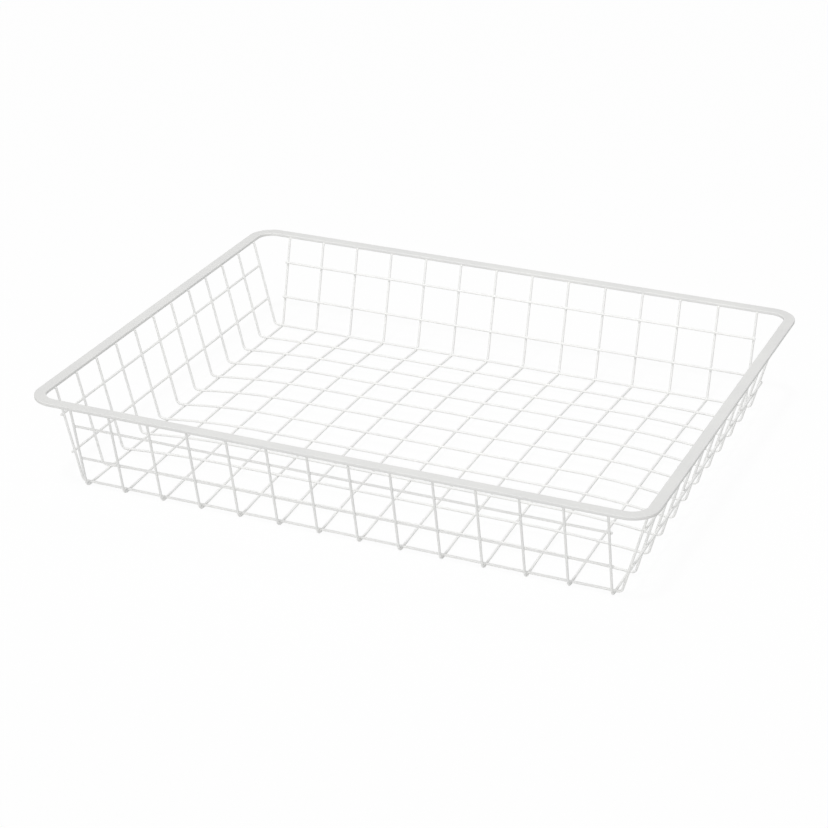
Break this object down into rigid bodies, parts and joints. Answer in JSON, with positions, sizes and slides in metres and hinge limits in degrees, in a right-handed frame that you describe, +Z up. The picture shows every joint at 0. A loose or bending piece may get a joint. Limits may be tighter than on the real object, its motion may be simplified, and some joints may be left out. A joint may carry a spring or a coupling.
{
  "type": "wire drawer basket",
  "caption": "Open-topped storage basket of welded, white coated steel wire with leaning walls, a crowned floor and a flat strip rim that rides on drawer runners.",
  "frame": {"origin": "on the ground under the middle of the basket", "axes": "+X along the long side of the rim, +Y from front to back, +Z up out of the open top"},
  "size_m": [0.543, 0.436, 0.088],
  "materials": {
    "white_coated_steel": "satin white powder coat"
  },
  "bodies": {
    "root": {"rim": "white_coated_steel", "depth_wire_1": "white_coated_steel", "depth_wire_2": "white_coated_steel", "depth_wire_3": "white_coated_steel", "depth_wire_4": "white_coated_steel", "depth_wire_5": "white_coated_steel", "depth_wire_6": "white_coated_steel", "depth_wire_7": "white_coated_steel", "depth_wire_8": "white_coated_steel", "depth_wire_9": "white_coated_steel", "depth_wire_10": "white_coated_steel", "depth_wire_11": "white_coated_steel", "depth_wire_12": "white_coated_steel", "depth_wire_13": "white_coated_steel", "depth_wire_14": "white_coated_steel", "width_wire_1": "white_coated_steel", "width_wire_2": "white_coated_steel", "width_wire_3": "white_coated_steel", "width_wire_4": "white_coated_steel", "width_wire_5": "white_coated_steel", "width_wire_6": "white_coated_steel", "width_wire_7": "white_coated_steel", "width_wire_8": "white_coated_steel", "width_wire_9": "white_coated_steel", "width_wire_10": "white_coated_steel", "width_wire_11": "white_coated_steel", "width_wire_12": "white_coated_steel", "front_wall_wire_low": "white_coated_steel", "front_wall_wire_high": "white_coated_steel", "back_wall_wire_low": "white_coated_steel", "back_wall_wire_high": "white_coated_steel", "left_wall_wire_low": "white_coated_steel", "left_wall_wire_high": "white_coated_steel", "right_wall_wire_low": "white_coated_steel", "right_wall_wire_high": "white_coated_steel"}
  },
  "joints": []
}
